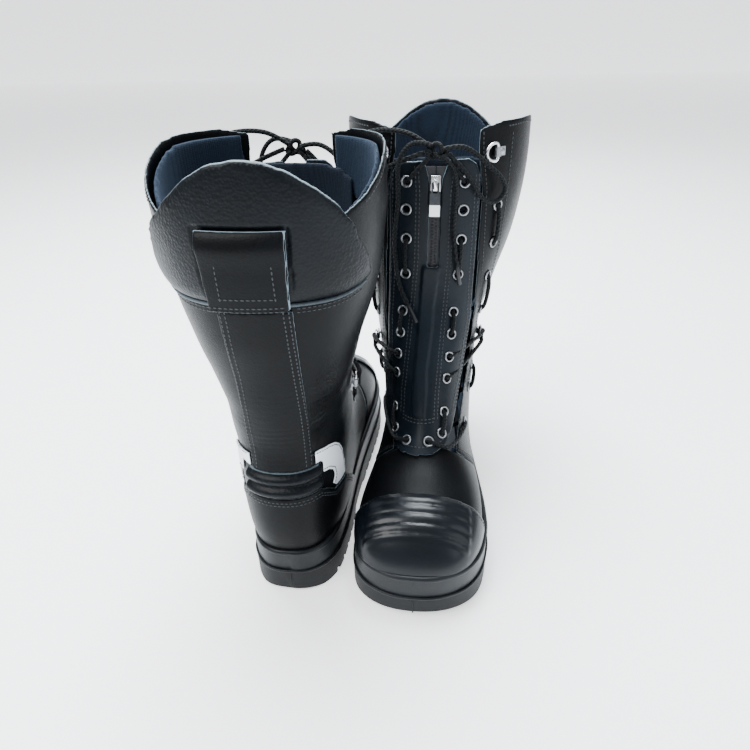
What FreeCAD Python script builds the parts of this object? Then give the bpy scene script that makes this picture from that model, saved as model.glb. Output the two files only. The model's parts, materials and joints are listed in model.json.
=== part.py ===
import FreeCAD, Part
import math
import os

# A pair of tall lace-up fire boots with a zip-in insert.  Each boot is drawn in a frame
# of its own: the back of the heel at the origin, the toe along +Y, the outer side of the
# foot at +X and the floor at Z = 0.  The right boot is modelled, and the left is its mirror.

Vector = FreeCAD.Vector
Rotation = FreeCAD.Rotation
Placement = FreeCAD.Placement
UP = Vector(0, 0, 1)

doc = FreeCAD.newDocument("FireBoots")
sheet = doc.addObject("Spreadsheet::Sheet", "Sizes")

SIZES = {
    # sole
    "outsole_height": 22.0,
    "midsole_height": 20.0,
    "tread_depth": 4.0,
    "recess_depth": 13.0,
    "plate_thickness": 1.5,
    "board_thickness": 2.0,
    "footbed_thickness": 5.0,
    # leather and lining, measured through the material
    "leather": 2.2,
    "overlay": 2.0,
    "stiffener": 1.6,
    "lining": 3.0,
    "padding": 4.0,
    "layer_gap": 0.3,
    # eyelets, rings and lace
    "eyelet_outer": 9.4,
    "eyelet_hole": 6.2,
    "ring_wire": 2.4,
    "ring_width": 15.0,
    "ring_reach": 12.0,
    "lace_diameter": 3.6,
    # zip
    "tooth_width": 3.0,
    "tooth_pitch": 2.6,
    "slider_length": 12.0,
    "slider_width": 7.4,
    "pull_length": 24.0,
    "pull_width": 8.0,
    "pull_thickness": 1.6,
    # how the pair stands
    "right_turn": -4.0,
    "left_turn": -5.5,
    "left_shift_x": 131.3,
    "left_shift_y": 274.8,
}
for index, (alias, value) in enumerate(SIZES.items(), start=1):
    sheet.set("A%d" % index, alias.replace("_", " "))
    sheet.set("B%d" % index, str(value))
    sheet.setAlias("B%d" % index, alias)
doc.recompute()


def size(alias):
    return float(sheet.get(alias))


FEATHER = size("outsole_height") + size("midsole_height") + 0.3  # where the upper meets the sole

# The outer surface of the upper, as stations from the top of the shaft, round the ankle,
# to the tip of the toe: front Y, Z; back Y, Z; centre X; half width; squareness of the
# front half and of the back half of the section.
STATIONS = [
    (139.0, 352, -8, 352, 0, 75, 2.2, 2.2),
    (140.5, 319, -8, 318, 0, 76, 2.2, 2.2),
    (142.0, 286, -7, 285, 0, 75, 2.2, 2.2),
    (143.5, 253, -4, 250, 0, 70, 2.2, 2.2),
    (145.0, 220, 2, 212, -2, 61, 2.2, 2.2),
    (151.0, 190, 8, 172, -3, 51, 2.2, 2.2),
    (163.0, 168, 10, 134, -3, 46, 2.2, 2.2),
    (172.0, 150, 4, 100, -2, 44, 2.1, 2.3),
    (181.0, 134, 0, 66, -1, 43, 2.0, 2.5),
    (190.0, 120, 4, 30, 0, 42, 2.0, 2.6),
    (199.0, 108, 34, 8, 0, 41, 2.0, 2.5),
    (208.0, 98, 96, 8, 0, 43, 2.0, 2.4),
    (217.0, 91, 162, 10, 0, 47, 2.1, 2.3),
    (230.0, 85, 212, 12, -1, 51, 2.2, 2.3),
    (248.0, 81, 246, 12, -2, 52, 2.3, 2.3),
    (266.0, 76, 268, 14, -3, 50, 2.3, 2.3),
    (283.0, 68, 286, 18, -4, 43, 2.3, 2.3),
    (295.0, 54, 297, 26, -4, 30, 2.2, 2.2),
    (300.0, 40, 300, 32, -4, 13, 2.0, 2.0),
]
LAST_STATION = len(STATIONS) - 1


def station(place):
    """The section at a place between two stations, on a smooth curve near them all."""
    place = min(max(place, 0.0), LAST_STATION - 1e-9)
    index = int(place)
    part = place - index
    weights = (
        (1 - part) ** 3 / 6,
        (3 * part ** 3 - 6 * part ** 2 + 4) / 6,
        (-3 * part ** 3 + 3 * part ** 2 + 3 * part + 1) / 6,
        part ** 3 / 6,
    )
    total = [0.0] * 8
    for step, weight in enumerate(weights):
        number = index - 1 + step
        if number < 0:
            row = [2 * a - b for a, b in zip(STATIONS[0], STATIONS[1])]
        elif number > LAST_STATION:
            row = [2 * a - b for a, b in zip(STATIONS[-1], STATIONS[-2])]
        else:
            row = STATIONS[number]
        total = [sum_so_far + weight * value for sum_so_far, value in zip(total, row)]
    return total


def skin_point(place, angle):
    """A point of the outer surface.  Angle 0 is the front or top, a right angle is +X."""
    front_y, front_z, back_y, back_z, middle, half, front_square, back_square = station(place)
    cosine = math.cos(angle)
    sine = math.sin(angle)
    square = front_square if cosine >= 0 else back_square
    along = math.copysign(abs(cosine) ** (2 / square), cosine)
    across = math.copysign(abs(sine) ** (2 / square), sine)
    return Vector(
        middle + across * half,
        (front_y + back_y) / 2 + along * (front_y - back_y) / 2,
        (front_z + back_z) / 2 + along * (front_z - back_z) / 2,
    )


def skin_normal(place, angle):
    step = 1e-3
    down = skin_point(place + step, angle) - skin_point(place - step, angle)
    round_it = skin_point(place, angle + step) - skin_point(place, angle - step)
    normal = round_it.cross(down)
    normal.normalize()
    return normal


def lifted(place, angle, lift):
    return skin_point(place, angle) + skin_normal(place, angle) * lift


SEAM_ANGLE = math.pi  # the surface closes on itself up the middle of the back


def ring_points(place, lift, count=36):
    """One section of the surface at a given lift, closed at the back."""
    points = []
    for number in range(count + 1):
        point = lifted(place, SEAM_ANGLE + 2 * math.pi * (number % count) / count, lift)
        if place < 0.01:
            point.z = STATIONS[0][1]
        if place > LAST_STATION - 0.01:
            point.y = STATIONS[-1][0] + lift
        points.append(point)
    return points


_solids = {}


def last_solid(lift):
    """The whole inside of the surface at a given lift, from the toe to the top."""
    if lift not in _solids:
        rings = [ring_points(number * 0.75, lift) for number in range(25)]
        surface = Part.BSplineSurface()
        surface.interpolate(rings)
        first, last, _, _ = surface.bounds()
        ends = [surface.uIso(first), surface.uIso(last)]
        caps = [Part.Face(Part.Wire([curve.toShape()])) for curve in ends]
        shell = Part.makeShell([surface.toShape()] + caps)
        shell.sewShape()
        _solids[lift] = Part.makeSolid(shell)
        if _solids[lift].Volume < 0:
            _solids[lift].reverse()
    return _solids[lift]


def side_region(outline, low=-120.0, high=120.0):
    """A prism through the boot from an outline of Y, Z points seen from the side."""
    return prism([Vector(low, y, z) for y, z in outline], Vector(high - low, 0, 0))


def front_region(outline, low=90.0, high=330.0):
    """A prism from an outline of X, Z points seen from the front or the back."""
    return prism([Vector(x, low, z) for x, z in outline], Vector(0, high - low, 0))


def prism(points, run):
    return Part.Face(Part.makePolygon(points + [points[0]])).extrude(run)


def layer(outer, inner, *regions):
    """The part of a layer, between two lifts, that lies inside every region."""
    body = last_solid(outer)
    for region in regions:
        body = body.common(region)
    return body.cut(last_solid(inner))


def single(shape):
    """The largest solid of a shape, without any loose crumbs."""
    solids = sorted(shape.Solids, key=lambda solid: solid.Volume)
    return solids[-1]


def group(solids):
    return Part.makeCompound(list(solids))


nodes = {}


def add_feature(label, shape):
    item = doc.addObject("Part::Feature", label)
    item.Label = label
    item.Shape = shape
    nodes[label] = item
    return item


def on_front(x, z, lift=0.0):
    """The point of the front or top of the boot at a given X and height, and its normal."""
    low, high = 0.0, LAST_STATION - 1.0
    for _ in range(40):
        place = (low + high) / 2
        angle = front_angle(place, x)
        if skin_point(place, angle).z > z:
            low = place
        else:
            high = place
    normal = skin_normal(place, angle)
    return skin_point(place, angle) + normal * lift, normal


def front_angle(place, x):
    row = station(place)
    across = (x - row[4]) / row[5]
    share = min(abs(across), 0.999) ** (row[6] / 2)
    return math.copysign(math.asin(share), across)


# ---------------------------------------------------------------- the moulded sole

# The edge of the sole seen from above, outer side first, from the heel round the toe.
SOLE_EDGE = [
    (0, -2.5), (19, 1.5), (33, 16), (39.5, 40), (42, 68), (43.5, 102), (46.5, 140), (51.5, 182),
    (55.5, 222), (54.5, 254), (43, 285), (23, 300), (-4, 305), (-31, 300), (-49, 285),
    (-56.5, 254), (-53.5, 222), (-47, 182), (-42.5, 140), (-41, 102), (-40.5, 68),
    (-38, 40), (-32, 16), (-19, 1.5),
]


def inset_edge(inset, height=0.0):
    """The sole's edge moved inwards by a distance."""
    count = len(SOLE_EDGE)
    points = []
    for number, (x, y) in enumerate(SOLE_EDGE):
        before = SOLE_EDGE[number - 1]
        after = SOLE_EDGE[(number + 1) % count]
        run = Vector(after[0] - before[0], after[1] - before[1], 0)
        run.normalize()
        points.append(Vector(x - run.y * inset, y + run.x * inset, height))
    return points


def closed_curve(points):
    curve = Part.BSplineCurve()
    curve.interpolate(Points=points, PeriodicFlag=True)
    return curve


def origin_plane(body, role):
    for item in body.Origin.OriginFeatures:
        if item.Role == role:
            return item
    raise ValueError(role)


def add_sketch(body, name, role, height=None):
    sketch = body.newObject("Sketcher::SketchObject", name)
    sketch.AttachmentSupport = (origin_plane(body, role), [""])
    sketch.MapMode = "FlatFace"
    if height is not None:
        sketch.setExpression("AttachmentOffset.Base.z", height)
    return sketch


def add_slab(label, inset, base, thickness):
    """A slab with the outline of the sole, as a body with one padded sketch."""
    body = doc.addObject("PartDesign::Body", label)
    body.Label = label
    sketch = add_sketch(body, label + "_outline", "XY_Plane", base)
    sketch.addGeometry(closed_curve(inset_edge(inset)))
    pad = body.newObject("PartDesign::Pad", label + "_pad")
    pad.Profile = sketch
    pad.setExpression("Length", thickness)
    doc.recompute()
    nodes[label] = body
    return body


def add_pocket(body, name, sketch, depth, both_ways=False):
    """A pocket that has to take something away, or the run stops."""
    before = body.Shape.Volume
    pocket = body.newObject("PartDesign::Pocket", name)
    pocket.Profile = sketch
    pocket.setExpression("Length", depth)
    pocket.Midplane = both_ways
    doc.recompute()
    if body.Shape.Volume > before - 1:
        pocket.Reversed = not pocket.Reversed
        doc.recompute()
    if body.Shape.Volume > before - 1:
        raise RuntimeError(name + " takes nothing away")


def add_closed(sketch, corners):
    for number, corner in enumerate(corners):
        after = corners[(number + 1) % len(corners)]
        sketch.addGeometry(Part.LineSegment(Vector(*corner, 0), Vector(*after, 0)))


outsole = add_slab("right_outsole", 0.0, "0", "Sizes.outsole_height")
profile = add_sketch(outsole, "outsole_under", "YZ_Plane")
add_closed(profile, [(240, -1), (310, -1), (310, 8.5), (276, 2.2)])
add_closed(profile, [(86, -1), (138, -1), (128, 4.5), (91, 7.5)])
add_closed(profile, [(-6, -1), (9, -1), (-6, 4)])
add_pocket(outsole, "outsole_under_cut", profile, "300", True)

tread = add_sketch(outsole, "outsole_tread", "XY_Plane")
for y in (22, 36, 50, 64, 78, 150, 164, 178, 192, 206, 220, 234, 248, 262):
    for low, high in ((-62, -18), (-13, 13), (18, 62)):
        add_closed(tread, [(low, y - 2.2), (high, y - 2.2), (high, y + 2.2), (low, y + 2.2)])
add_pocket(outsole, "outsole_tread_cut", tread, "Sizes.tread_depth")

midsole = add_slab("right_midsole", 1.2, "Sizes.outsole_height", "Sizes.midsole_height")
recess = add_sketch(
    midsole, "midsole_recess", "XY_Plane", "Sizes.outsole_height + Sizes.midsole_height"
)
recess.addGeometry(closed_curve(inset_edge(13.0)))
add_pocket(midsole, "midsole_recess_cut", recess, "Sizes.recess_depth")

# The plate, the board and the footbed lie in the midsole's recess, one on another.
recess_floor = "Sizes.outsole_height + Sizes.midsole_height - Sizes.recess_depth"
plate_top = recess_floor + " + Sizes.plate_thickness + 0.2"
board_top = plate_top + " + Sizes.board_thickness + 0.2"
add_slab("right_puncture_plate", 14.0, recess_floor + " + 0.1", "Sizes.plate_thickness")
add_slab("right_insole_board", 14.0, plate_top, "Sizes.board_thickness")
add_slab("right_footbed", 14.5, board_top, "Sizes.footbed_thickness")

# ---------------------------------------------------------------- the upper

gap = size("layer_gap")
leather = size("leather")
overlay = size("overlay") + gap
stiff_outer = -leather - gap
stiff_inner = stiff_outer - size("stiffener")
lining_outer = stiff_inner - gap
lining_inner = lining_outer - size("lining")
insert_inner = 0.6
insert_outer = insert_inner + leather

# The line, seen from the side, where the quarters lie over the vamp.
VAMP_LINE = [(172, FEATHER), (186, 57), (198, 75), (206, 94)]

# The top of the shaft seen from the side: a dip behind each front flap.
FLAP_TOP = [(11, 308), (22, 314), (38, 322), (58, 331), (78, 337.5), (100, 340), (124, 339),
            (133, 335), (138, 329)]
SEAM = [(-30, 258), (6, 258.5), (20, 260), (33, 264)]
COLLAR_FRONT = [(27, 278), (19, 292)]

# The opening between the quarters that the insert fills, seen from the front.
OPENING = [(-30, 360), (-31, 318), (-36.5, 292), (-37.5, 250), (-39, 184), (-37.5, 140), (-34, 104),
           (-26, 84), (26, 84), (30, 104), (35, 140), (37.5, 184), (36, 250), (35.5, 292),
           (31, 318), (30, 360)]

vamp_region = side_region(
    [(y + 0.4, z) for y, z in VAMP_LINE] + [(206, 118), (320, 118), (320, FEATHER)]
)
quarter_outline = [(-30, FEATHER)] + SEAM + COLLAR_FRONT + FLAP_TOP
quarter_outline += [(240, 325), (240, 94)] + list(reversed(VAMP_LINE))
opening = front_region(OPENING)

# Eyelets: heights of the rows on the insert and on the edges of the shaft, with the X of each.
INSERT_ROWS = [(21.5, 298), (21.5, 277), (21, 254), (20.5, 225), (20, 193), (20, 175),
               (20, 157.5), (19.5, 141), (19, 114), (18, 100)]
SHAFT_ROWS = [(49.5, 277), (49, 246), (48, 215), (46.5, 178), (43, 125), (41, 108), (38, 88)]
BOTTOM_HOLE = (8.5, 98)


def insert_middle(z):
    """X of the middle of the insert, which leans to the inner side as it goes down."""
    return -6.0 * min(1.0, max(0.0, (235 - z) / 105))


def row_height(aside, z):
    """Low on the instep, each row lies square to the insert, so its ends differ in height."""
    return z + aside * INSTEP_LEAN if z < INSTEP_TOP else z


INSTEP_TOP = 120
INSTEP_LEAN = 0.15
insert_seats = {}
shaft_seats = {}
for side in (1, -1):
    rows = INSERT_ROWS + [BOTTOM_HOLE]
    insert_seats[side] = [
        on_front(insert_middle(z) + side * x, row_height(side * x, z)) for x, z in rows
    ]
    shaft_seats[side] = [on_front(insert_middle(z) / 2 + side * x, z) for x, z in SHAFT_ROWS]


HOLE_ROOM = 0.55
FLANGE_ROOM = (size("eyelet_outer") - size("eyelet_hole")) / 2


def hole_tools(seats, room=HOLE_ROOM):
    radius = size("eyelet_hole") / 2 + room
    return [
        Part.makeCylinder(radius, 16, point - normal * 8, normal) for point, normal in seats
    ]


# The insert's lowest rings stand over the vamp, which is cut clear of their flanges.
lowest_seats = insert_seats[1][-2:] + insert_seats[-1][-2:]
vamp = layer(0.0, -leather, vamp_region)
vamp = vamp.cut(hole_tools(shaft_seats[1] + shaft_seats[-1]))
add_feature("right_vamp", single(vamp.cut(hole_tools(lowest_seats, FLANGE_ROOM))))

for side, name in ((1, "lateral"), (-1, "medial")):
    low, high = (0.15, 120.0) if side > 0 else (-120.0, -0.15)
    quarter = layer(0.0, -leather, side_region(quarter_outline, low, high))
    quarter = single(quarter.cut(opening))
    quarter = quarter.cut(hole_tools(shaft_seats[side]))
    add_feature("right_quarter_" + name, single(quarter))

# Outside counter, with its top edge level across the heel and lower at the sides.
counter_outline = [(-30, FEATHER), (-30, 97), (16, 97.6), (21, 94), (30, 86), (42, 84), (52, 82),
                   (64, 72), (80, 58), (96, FEATHER)]
add_feature("right_heel_counter", single(layer(overlay, gap, side_region(counter_outline))))

stiffener_outline = [(-30, FEATHER), (-30, 88), (20, 88), (40, 80), (76, FEATHER)]
add_feature(
    "right_counter_stiffener",
    single(layer(stiff_outer, stiff_inner, side_region(stiffener_outline))),
)
cap_outline = [(247, FEATHER), (247, 120), (330, 120), (330, FEATHER)]
add_feature(
    "right_toe_cap", single(layer(stiff_outer, stiff_inner, side_region(cap_outline)))
)

# Ribbed guard over the toe, whose ribs lie across the foot.
guard_outline = [(251, FEATHER), (251, 120), (330, 120), (330, FEATHER)]
guard = layer(overlay, gap, side_region(guard_outline))
RIB_EDGES = [254, 261, 268, 275.5, 282, 287]
for first, second in zip(RIB_EDGES, RIB_EDGES[1:]):
    rib_outline = [(first + 1.2, 54), (first + 1.2, 110), (second - 1.0, 110), (second - 1.0, 54)]
    rib = layer(overlay + 0.9, overlay - 0.6, side_region(rib_outline, -44, 38))
    guard = guard.fuse(single(rib))
add_feature("right_toe_guard", single(guard))

# Two padded rolls above the counter, at the back.
ROLL_HALF = 28.0


def roll_region(low, high, half):
    outline = [(-half, low), (-half, high), (half, high), (half, low)]
    return front_region(outline, -40, 60)


rolls = []
for low, high in ((98.3, 108.3), (109.0, 119.0)):
    rolls.append(single(layer(4.6, gap, roll_region(low, high, ROLL_HALF))))
add_feature("right_ankle_pads", group(rolls))

stay_region = front_region([(-22.3, 119.6), (-23.3, 254.2), (23.3, 254.2), (22.3, 119.6)], -40, 60)
add_feature("right_back_stay", single(layer(overlay, gap, stay_region)))

# Padded collar round the back, with a domed top.
DOME = [(-58, 306), (-50, 312), (-41, 321), (-28, 332), (-14, 339.5), (0, 342), (14, 341.5),
        (28, 336), (41, 326.5), (50, 317.5), (58, 308)]
dome_region = front_region([(-90, 200), (-90, 306)] + DOME + [(90, 308), (90, 200)], -40, 90)
collar_outline = [(-30, 258.6), (6, 259.1), (20, 260.6), (32.5, 264.6), (26, 278.5),
                  (18.2, 292.5), (10.4, 308), (10.4, 360), (-30, 360)]
collar = layer(size("padding"), -leather, side_region(collar_outline), dome_region)
add_feature("right_collar", single(collar))

# A strap folded into a flat loop over the middle of the collar.
pad = size("padding")


STRAP_LOW = 258.0
STRAP_SPREAD = 0.042


def strap_half_width(z):
    """The strap widens slightly from its foot upwards."""
    return 23.6 + STRAP_SPREAD * (z - STRAP_LOW)


def strap_band(outer, inner, low, high):
    low_half = strap_half_width(low)
    high_half = strap_half_width(high)
    outline = [(-low_half, low), (-high_half, high), (high_half, high), (low_half, low)]
    return single(layer(outer, inner, front_region(outline, -40, 60)))


loop = strap_band(pad + 6.6, pad + 4.6, 258.0, 304.5)
loop = loop.fuse(strap_band(pad + 2.6, pad + 0.6, 262.0, 304.5))
loop = loop.fuse(strap_band(pad + 6.6, pad + 0.6, 302.0, 306.0))
loop = loop.fuse(strap_band(pad + 6.6, pad + 0.6, 258.0, 264.0))
add_feature("right_pull_loop", single(loop))

# Silver patch on each side of the ankle, in front of the stay.
patches = []
for low, high in ((24.2, 120.0), (-120.0, -24.2)):
    outline = [(10, 120.4), (10, 131.5), (22, 130.5), (32, 128), (40, 124), (46, 118.5), (50, 111),
               (52, 100), (53, 84.6), (42, 85.4), (33, 86.8), (29, 91.5), (33, 97), (32, 103),
               (27, 107.5), (21.5, 109), (21.5, 120.4)]
    patch = layer(gap + 1.2, gap, side_region(outline, low, high))
    patches.append(single(patch.cut(roll_region(98.0, 119.3, ROLL_HALF + 0.5))))
add_feature("right_reflective_patches", group(patches))

lining_front = front_region([(-58, 84), (-58, 288), (-34, 294), (-34, 380), (34, 380), (34, 294),
                             (58, 288), (58, 84)])
lining_outline = [(-30, FEATHER), (-30, 380), (236, 380), (236, FEATHER)]
lining_dome = front_region(
    [(-90, 400), (-90, 304)] + [(x, z - 2) for x, z in DOME] + [(90, 304), (90, 400)], -40, 20
)
lining = layer(lining_outer, lining_inner, side_region(lining_outline))
lining = lining.cut(lining_front)
lining = lining.cut(lining_dome)
lining = lining.cut(side_region([(10, 304), (22, 310.5), (38, 318.5), (58, 327.5), (78, 334),
                                 (100, 336.5), (124, 335.5), (170, 322), (170, 400), (10, 400)]))
add_feature("right_lining", single(lining))

tongue_region = front_region([(-48, 306), (-38, 312), (-20, 314), (20, 315), (38, 313), (48, 306),
                              (46, 150), (40, 96), (-40, 96), (-50, 150)])
add_feature("right_tongue", single(layer(-8.0, -10.4, tongue_region)))

# ---------------------------------------------------------------- the insert and its zip

ZIP_TOP = 304.0
ZIP_END = 120.0
INSERT_EDGE = [(-24, 312.5), (-31, 309), (-34.5, 302), (-35.5, 290), (-35.5, 250), (-36.5, 184),
               (-36, 140), (-37.5, 118), (-37, 101), (-33, 95), (-24, 91.5), (8, 94), (17, 97),
               (22.5, 102), (25, 112), (29.5, 140), (34.5, 184), (34.5, 250), (34.5, 290),
               (33.5, 302), (30, 311), (24, 315)]
insert = layer(insert_outer, insert_inner, front_region(INSERT_EDGE))
slot = [(11.0, 319), (7.4, 308), (4.9, 300), (4.3, 293), (4.3, 234), (0.6, 190), (-2.9, 130),
        (-2.9, ZIP_END), (-9.1, ZIP_END), (-9.1, 130), (-5.8, 190), (-4.3, 234), (-4.3, 293),
        (-4.9, 300), (-7.4, 308), (-11.0, 319)]
insert = insert.cut(front_region(slot))

# A placket lies over the zip below the slider's travel, with a wavy free edge.
PLACKET = [(-7.5, 232), (5.2, 232), (4.0, 216), (2.2, 200), (1.8, 184), (0.4, 170), (-1.8, 150),
           (-1.3, 134), (-2.0, 116), (-13.0, 116), (-13.0, 130), (-9.8, 184)]
insert = insert.fuse(layer(insert_outer + 1.5, insert_outer - 0.1, front_region(PLACKET)))
insert = insert.cut(hole_tools(insert_seats[1] + insert_seats[-1]))
add_feature("right_zip_insert", single(insert))


def zip_x(z):
    return insert_middle(z) if z > 130 else -6.0


tapes = []
for side in (1, -1):
    edge = [(zip_x(z) + side * 0.3, z) for z in (ZIP_TOP + 5, 250, 190, 130, ZIP_END - 8)]
    edge += [(x + side * 10.5, z) for x, z in reversed(edge)]
    tapes.append(single(layer(0.3, -0.3, front_region(edge))))

teeth = []
tooth_height = 1.6
tooth_width = size("tooth_width")
place_z = ZIP_TOP - 4
number = 0
while place_z > ZIP_END + 4:
    side = 1 if number % 2 else -1
    middle = zip_x(place_z)
    point, normal = on_front(middle, place_z)
    below, _ = on_front(zip_x(place_z - 1), place_z - 1)
    run = below - point
    run.normalize()
    across = normal.cross(run)
    across.normalize()
    tooth = Part.makeBox(tooth_width, 1.0, tooth_height)
    frame = Rotation(across, run, across.cross(run))
    out = frame.multVec(UP)
    lift = 0.4 if out.dot(normal) > 0 else 0.4 + tooth_height
    corner = point + normal * lift + across * (side * 0.7 - tooth_width / 2)
    tooth.Placement = Placement(corner, frame)
    teeth.append(tooth)
    place_z -= size("tooth_pitch") / 2 * -run.z
    number += 1
add_feature("right_zip_chain", group(tapes + teeth))

# The slider rides on the straight upper stretch.  It is drawn flat, with its length along
# X and its face up, and is then turned to lie on the front of the boot.
SLIDER_Z = 297.0
slider_point, _ = on_front(0, SLIDER_Z)
lower_point, _ = on_front(0, SLIDER_Z - 30)
zip_run = lower_point - slider_point
zip_run.normalize()
zip_out = Vector(1, 0, 0).cross(zip_run)
if zip_out.y < 0:
    zip_out = zip_out * -1
slider_frame = Rotation(zip_run, zip_out.cross(zip_run), zip_out)
slider_place = Placement(slider_point, slider_frame)


def add_box(name, length, width, height, x, y, z):
    box = doc.addObject("Part::Box", name)
    for prop, value in (("Length", length), ("Width", width), ("Height", height)):
        box.setExpression(prop, value)
    box.setExpression("Placement.Base.x", x)
    box.setExpression("Placement.Base.y", y)
    box.setExpression("Placement.Base.z", z)
    return box


channel_top = tooth_height + 0.4 + 0.45
plate = add_box("slider_plate", "Sizes.slider_length", "Sizes.slider_width", "1.4",
                "-Sizes.slider_length / 2", "-Sizes.slider_width / 2", str(channel_top))
flange_height = str(channel_top - 0.75)
flange_far = add_box("slider_flange_far", "Sizes.slider_length", "1.2", flange_height,
                     "-Sizes.slider_length / 2", "Sizes.slider_width / 2 - 1.2", "0.75")
flange_near = add_box("slider_flange_near", "Sizes.slider_length", "1.2", flange_height,
                      "-Sizes.slider_length / 2", "-Sizes.slider_width / 2", "0.75")
bridge_foot = add_box("slider_bridge", "7", "2.4", "3.6", "-3.5", "-1.2",
                      str(channel_top + 1.2))
eye = doc.addObject("Part::Cylinder", "slider_eye")
eye.Radius = 0.9
eye.Height = 8
PIN_UP = channel_top + 3.3
eye.Placement = Placement(Vector(0, 4, PIN_UP), Rotation(Vector(1, 0, 0), 90))
slider_body = doc.addObject("Part::MultiFuse", "slider_body")
slider_body.Shapes = [plate, flange_far, flange_near, bridge_foot]
slider = doc.addObject("Part::Cut", "right_zip_slider")
slider.Base = slider_body
slider.Tool = eye
slider.Label = "right_zip_slider"
slider.Placement = slider_place
nodes["right_zip_slider"] = slider

# The pull: a pin through the bridge's eye, two arms and a tab that hangs down.
pull_pin = doc.addObject("Part::Cylinder", "pull_pin")
pull_pin.Radius = 0.8
pull_pin.Height = 6.4
pull_pin.Placement = Placement(Vector(0, 3.2, PIN_UP), Rotation(Vector(1, 0, 0), 90))
arm_height = "Sizes.pull_thickness"
arm_low = "%s - Sizes.pull_thickness / 2" % PIN_UP
arm_far = add_box("pull_arm_far", "8", "1.6", arm_height, "-0.8", "1.6", arm_low)
arm_near = add_box("pull_arm_near", "8", "1.6", arm_height, "-0.8", "-3.2", arm_low)
tab = add_box("pull_tab", "Sizes.pull_length - 6.5", "Sizes.pull_width", arm_height,
              "6.5", "-Sizes.pull_width / 2", arm_low)
pull = doc.addObject("Part::MultiFuse", "right_zip_pull")
pull.Shapes = [pull_pin, arm_far, arm_near, tab]
pull.Label = "right_zip_pull"
pull.Placement = slider_place
nodes["right_zip_pull"] = pull

# ---------------------------------------------------------------- eyelets and rings


def eyelet(point, normal, outer_face, inner_face):
    """A rolled ring outside, a barrel through the leather and a flat flange inside."""
    hole = size("eyelet_hole") / 2
    rim = size("eyelet_outer") / 2
    outer = point + normal * (outer_face + 0.1)
    inner = point + normal * (inner_face - 0.9)
    body = Part.makeCylinder(rim, 1.2, outer, normal)
    barrel = Part.makeCylinder(hole + 0.5, outer_face - inner_face + 2.0, inner, normal)
    flange = Part.makeCylinder(rim - 0.4, 0.7, inner, normal)
    bore = Part.makeCylinder(hole, 20, point - normal * 10, normal)
    return body.fuse([barrel, flange]).cut(bore)


eyelets = []
for side in (1, -1):
    for point, normal in insert_seats[side]:
        eyelets.append(eyelet(point, normal, insert_outer, insert_inner))
    for point, normal in shaft_seats[side]:
        eyelets.append(eyelet(point, normal, 0.0, -leather))
add_feature("right_eyelets", group(eyelets))

RING_LIFT = 3.9


def ring_frame(x, z, side):
    """Where a ring's bar lies: origin on the leather, X towards the insert, Z outwards."""
    point, normal = on_front(x, z)
    down = UP * -1
    down = down - normal * down.dot(normal)
    down.normalize()
    inward = down.cross(normal)
    if inward.x * side > 0:
        inward = inward * -1
    return Placement(point, Rotation(inward, normal.cross(inward), normal))


def rounded_path(route, share=0.45):
    """Straight runs between the points of a route, joined by tangent arcs, and their radii."""
    edges = []
    radii = []
    here = route[0]
    for before, corner, after in zip(route, route[1:], route[2:]):
        back = before - corner
        ahead = after - corner
        turn = math.pi - back.getAngle(ahead)
        reach = share * min(back.Length, ahead.Length)
        bend = reach / math.tan(turn / 2)
        start = corner + back.normalize() * reach
        end = corner + ahead.normalize() * reach
        middle_way = back + ahead
        middle_way.normalize()
        bulge = bend / math.cos(turn / 2) - bend
        edges.append(Part.LineSegment(here, start).toShape())
        edges.append(Part.Arc(start, corner + middle_way * bulge, end).toShape())
        radii.append(bend)
        here = end
    edges.append(Part.LineSegment(here, route[-1]).toShape())
    return Part.Wire(edges), radii


def d_ring():
    """A round wire bent to a D, its straight bar along Y at X = 0."""
    wire = size("ring_wire") / 2
    half = size("ring_width") / 2 - wire
    reach = size("ring_reach") - 2 * wire
    corners = [(0, half), (reach * 0.55, half), (reach, half * 0.45), (reach, -half * 0.45),
               (reach * 0.55, -half), (0, -half)]
    middle = Vector(0, 0, RING_LIFT)
    route = [middle] + [Vector(x, y, RING_LIFT) for x, y in corners] + [middle]
    path, _ = rounded_path(route)
    section = Part.Wire([Part.makeCircle(wire, middle, Vector(0, 1, 0))])
    return path.makePipeShell([section], True, False)


def ring_clip():
    """A barrel round the ring's bar on a riveted foot."""
    wire = size("ring_wire") / 2
    barrel = Part.makeCylinder(wire + 1.3, 6.4, Vector(0, -3.2, RING_LIFT), Vector(0, 1, 0))
    foot = Part.makeBox(8.4, 6.4, 1.4, Vector(-8.2, -3.2, 0.6))
    web = Part.makeBox(2.4, 6.4, RING_LIFT, Vector(-2.4, -3.2, 0.6))
    dome = Part.makeSphere(2.6, Vector(-5.3, 0, 0.8))
    dome = dome.common(Part.makeBox(8, 8, 6, Vector(-9.3, -4, 1.0)))
    stem = Part.makeCylinder(1.2, 4.0, Vector(-5.3, 0, -2.8), UP)
    body = barrel.fuse([foot, web, dome, stem])
    return body.cut(Part.makeCylinder(wire + 0.15, 8, Vector(0, -4, RING_LIFT), Vector(0, 1, 0)))


top_frames = {side: ring_frame(side * 43.5, 318, side) for side in (1, -1)}
ankle_frames = {1: ring_frame(43.5, 148, 1), -1: ring_frame(-47, 148, -1)}


def placed(shape, frame):
    copy = shape.copy()
    copy.Placement = frame.multiply(copy.Placement)
    return copy


clip_solids = []
for frame in list(top_frames.values()) + list(ankle_frames.values()):
    clip_solids.append(placed(ring_clip(), frame))
add_feature("right_ring_clips", group(clip_solids))
for side, name in ((1, "lateral"), (-1, "medial")):
    add_feature("right_top_ring_" + name, placed(d_ring(), top_frames[side]))
add_feature(
    "right_ankle_rings", group([placed(d_ring(), frame) for frame in ankle_frames.values()])
)

# ---------------------------------------------------------------- the lace

lace_width = size("lace_diameter")


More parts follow.
